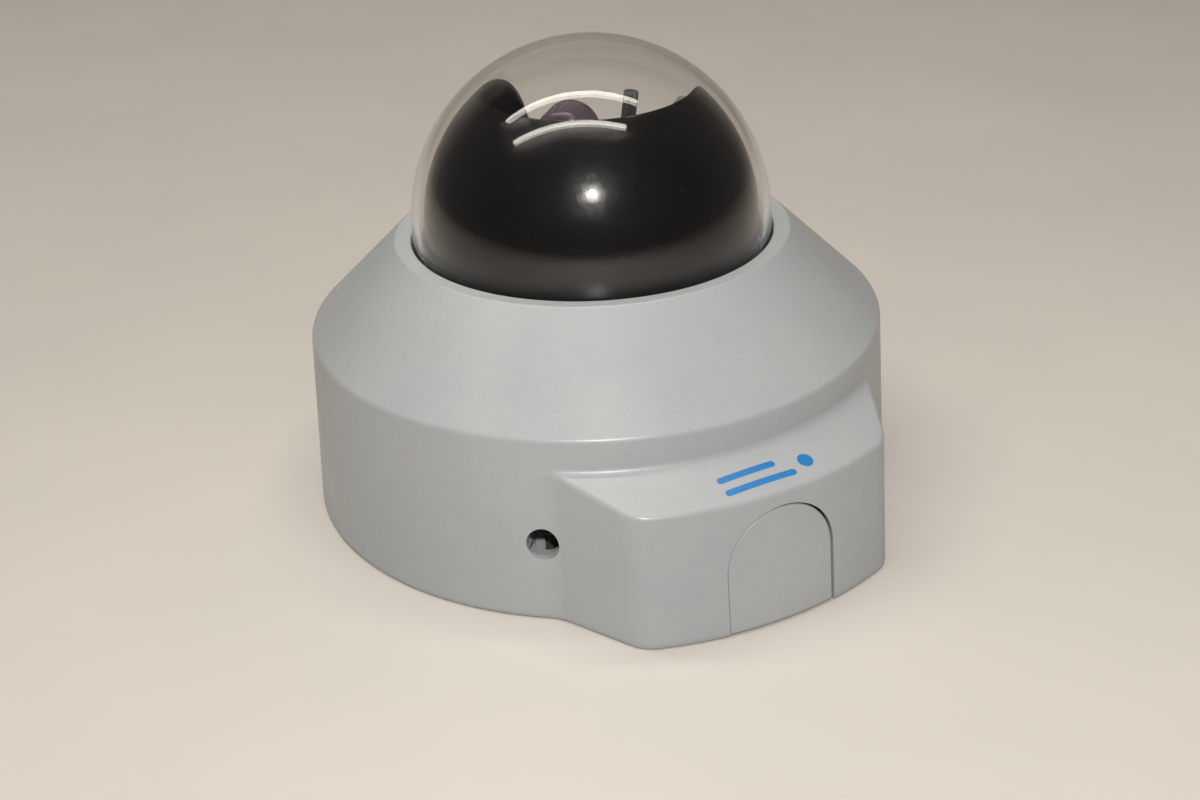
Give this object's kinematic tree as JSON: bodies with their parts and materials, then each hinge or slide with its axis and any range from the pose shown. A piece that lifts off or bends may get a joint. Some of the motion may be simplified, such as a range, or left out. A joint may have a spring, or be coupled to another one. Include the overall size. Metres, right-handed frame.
{
  "type": "dome security camera",
  "caption": "Surface-mount dome camera: painted housing with conduit snout, clear bubble, hand-aimed pan, tilt and rotate gimbal, varifocal lens.",
  "frame": {"origin": "pan axis at the mounting face", "axes": "+Z out of the wall or table through the top of the bubble, -Y towards the conduit snout, +X to the right seen from the snout side"},
  "size_m": [0.2112, 0.2317, 0.1633],
  "materials": {
    "paint": "satin light grey powder coat",
    "clear_plastic": "clear polycarbonate, polished",
    "gloss_black": "glossy",
    "matte_black": "fine moulded grain",
    "iris_plastic": "glossy dark purple-grey",
    "cast_alloy": "cast, satin",
    "steel": "zinc plated",
    "brass": "plated",
    "rubber": "matt",
    "board_green": "solder-masked laminate",
    "connector_green": "moulded",
    "bearing_white": "low-friction plastic",
    "sensor_black": "cover glass on sensor",
    "coated_glass": "purple anti-reflection coating"
  },
  "bodies": {
    "base": {"mounting_base": "cast_alloy", "base_seal": "rubber", "main_board": "board_green", "board_standoff_1": "brass", "board_standoff_2": "brass", "board_standoff_3": "brass", "board_standoff_4": "brass", "power_terminal": "connector_green", "video_jack": "steel", "board_heat_sink": "steel", "pan_base_plate": "steel", "support_pillar_1": "cast_alloy", "support_pillar_2": "cast_alloy", "support_pillar_3": "cast_alloy", "pan_bearing_ring": "bearing_white", "cover_screw_1": "steel", "cover_screw_2": "steel", "cover_screw_3": "steel"},
    "cover": {"housing_cover": "paint", "dome_bubble": "clear_plastic", "bubble_gasket": "rubber", "bubble_retaining_ring": "steel", "ring_screw_1": "steel", "ring_screw_2": "steel", "ring_screw_3": "steel", "ring_screw_4": "steel"},
    "knockout": {"conduit_plate": "paint"},
    "pan": {"pan_turntable": "matte_black", "pan_clamp_ring": "steel", "inner_liner": "gloss_black", "liner_screw_1": "steel", "liner_screw_2": "steel", "liner_screw_3": "steel", "yoke_arm_left": "steel", "yoke_arm_right": "steel", "pan_lock_screw": "matte_black"},
    "tilt": {"tilt_cradle": "matte_black", "tilt_knob_left": "matte_black", "tilt_knob_right": "matte_black"},
    "camera": {"camera_housing": "matte_black", "camera_rear_cap": "matte_black", "sensor_board": "board_green", "image_sensor": "sensor_black", "lens_mount_ring": "cast_alloy", "lens_barrel": "matte_black", "iris_motor": "iris_plastic"},
    "zoom": {"zoom_ring": "matte_black", "zoom_lock_screw": "matte_black"},
    "focus": {"focus_ring": "matte_black", "focus_lock_screw": "matte_black", "front_lens": "coated_glass", "lens_bezel": "matte_black"}
  },
  "joints": [
    {"name": "cover_lift", "type": "slide", "parent": "base", "child": "cover", "axis": [0, 0, 1], "range_m": [0, 0.165]},
    {"name": "conduit_plate_slide", "type": "slide", "parent": "cover", "child": "knockout", "axis": [0, 0, -1], "range_m": [0, 0.045]},
    {"name": "pan", "type": "hinge", "parent": "base", "child": "pan", "pos_m": [0, 0, 0.0998], "axis": [0, 0, 1], "range_deg": [-175, 175]},
    {"name": "tilt", "type": "hinge", "parent": "pan", "child": "tilt", "pos_m": [0, 0, 0.0998], "axis": [0.7071, -0.7071, 0], "range_deg": [-8, 85]},
    {"name": "lens_rotate", "type": "hinge", "parent": "tilt", "child": "camera", "pos_m": [0, 0, 0.0998], "axis": [0.7061, 0.7061, 0.0523], "range_deg": [-40, 60]},
    {"name": "zoom", "type": "hinge", "parent": "camera", "child": "zoom", "pos_m": [0, 0, 0.0998], "axis": [0.7061, 0.7061, 0.0523], "range_deg": [-35, 45]},
    {"name": "focus", "type": "hinge", "parent": "camera", "child": "focus", "pos_m": [0, 0, 0.0998], "axis": [0.7061, 0.7061, 0.0523], "range_deg": [-45, 45]}
  ]
}
